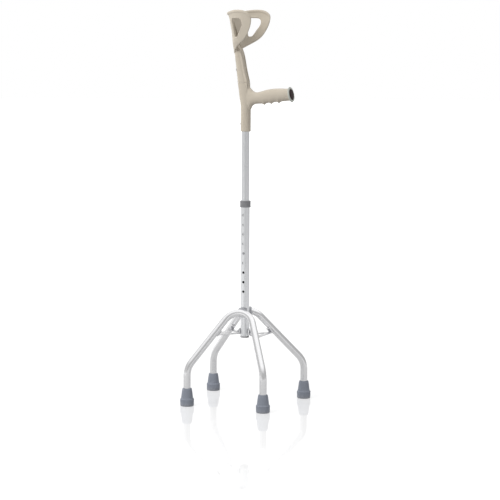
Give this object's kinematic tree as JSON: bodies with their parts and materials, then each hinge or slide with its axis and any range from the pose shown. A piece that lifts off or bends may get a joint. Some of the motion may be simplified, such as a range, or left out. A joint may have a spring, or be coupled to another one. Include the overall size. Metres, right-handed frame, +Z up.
{
  "type": "quad crutch",
  "caption": "Elbow crutch with an open arm cuff, a moulded side grip, a telescopic push-button pole and a splayed base of bent tube legs on rubber tips.",
  "frame": {"origin": "on the floor at the centre of the footprint of the feet; the pole's axis stands 7.5 mm ahead of it", "axes": "+Z up along the pole, +X the way the grip points, +Y the user's left"},
  "size_m": [0.2866, 0.2486, 0.9792],
  "materials": {
    "beige_plastic": "fine satin moulding",
    "anodised_tube": "satin anodised",
    "leg_tube": "bright polished",
    "bright_steel": "plated",
    "tip_rubber": "matt",
    "grey_plastic": "satin",
    "cap_plastic": "satin",
    "disc_plastic": "gloss",
    "white_plastic": "satin"
  },
  "bodies": {
    "base": {"lower_tube": "anodised_tube", "tube_collar": "grey_plastic", "pole_end_plug": "grey_plastic", "right_arch": "leg_tube", "left_arch": "leg_tube", "right_saddle": "bright_steel", "left_saddle": "bright_steel", "hub_pin": "bright_steel", "front_brace": "leg_tube", "rear_brace": "leg_tube", "brace_bolt": "bright_steel", "brace_nut": "bright_steel", "brace_rivet_rear_right": "bright_steel", "brace_rivet_front_right": "bright_steel", "brace_rivet_rear_left": "bright_steel", "brace_rivet_front_left": "bright_steel", "foot_tip_rear_right": "tip_rubber", "foot_tip_front_right": "tip_rubber", "foot_tip_rear_left": "tip_rubber", "foot_tip_front_left": "tip_rubber", "tip_washer_rear_right": "bright_steel", "tip_washer_front_right": "bright_steel", "tip_washer_rear_left": "bright_steel", "tip_washer_front_left": "bright_steel"},
    "upper": {"upper_tube": "anodised_tube", "tube_end_bush": "white_plastic", "button_clip": "bright_steel", "handle_moulding": "beige_plastic", "grip_end_cap": "cap_plastic", "grip_end_disc": "disc_plastic", "handle_rivet": "bright_steel", "cuff_moulding": "beige_plastic", "cuff_rivet": "bright_steel"},
    "button": {"snap_button": "bright_steel"}
  },
  "joints": [
    {"name": "height_slide", "type": "slide", "parent": "base", "child": "upper", "axis": [0, 0, 1], "range_m": [-0.096, 0.096], "deforming": ["snap_button"]},
    {"name": "button_press", "type": "slide", "parent": "upper", "child": "button", "axis": [0, 1, 0], "range_m": [0, 0.0044], "stiffness_N_per_m": 600, "springref_m": -0.002, "deforming": ["button_clip"]}
  ]
}
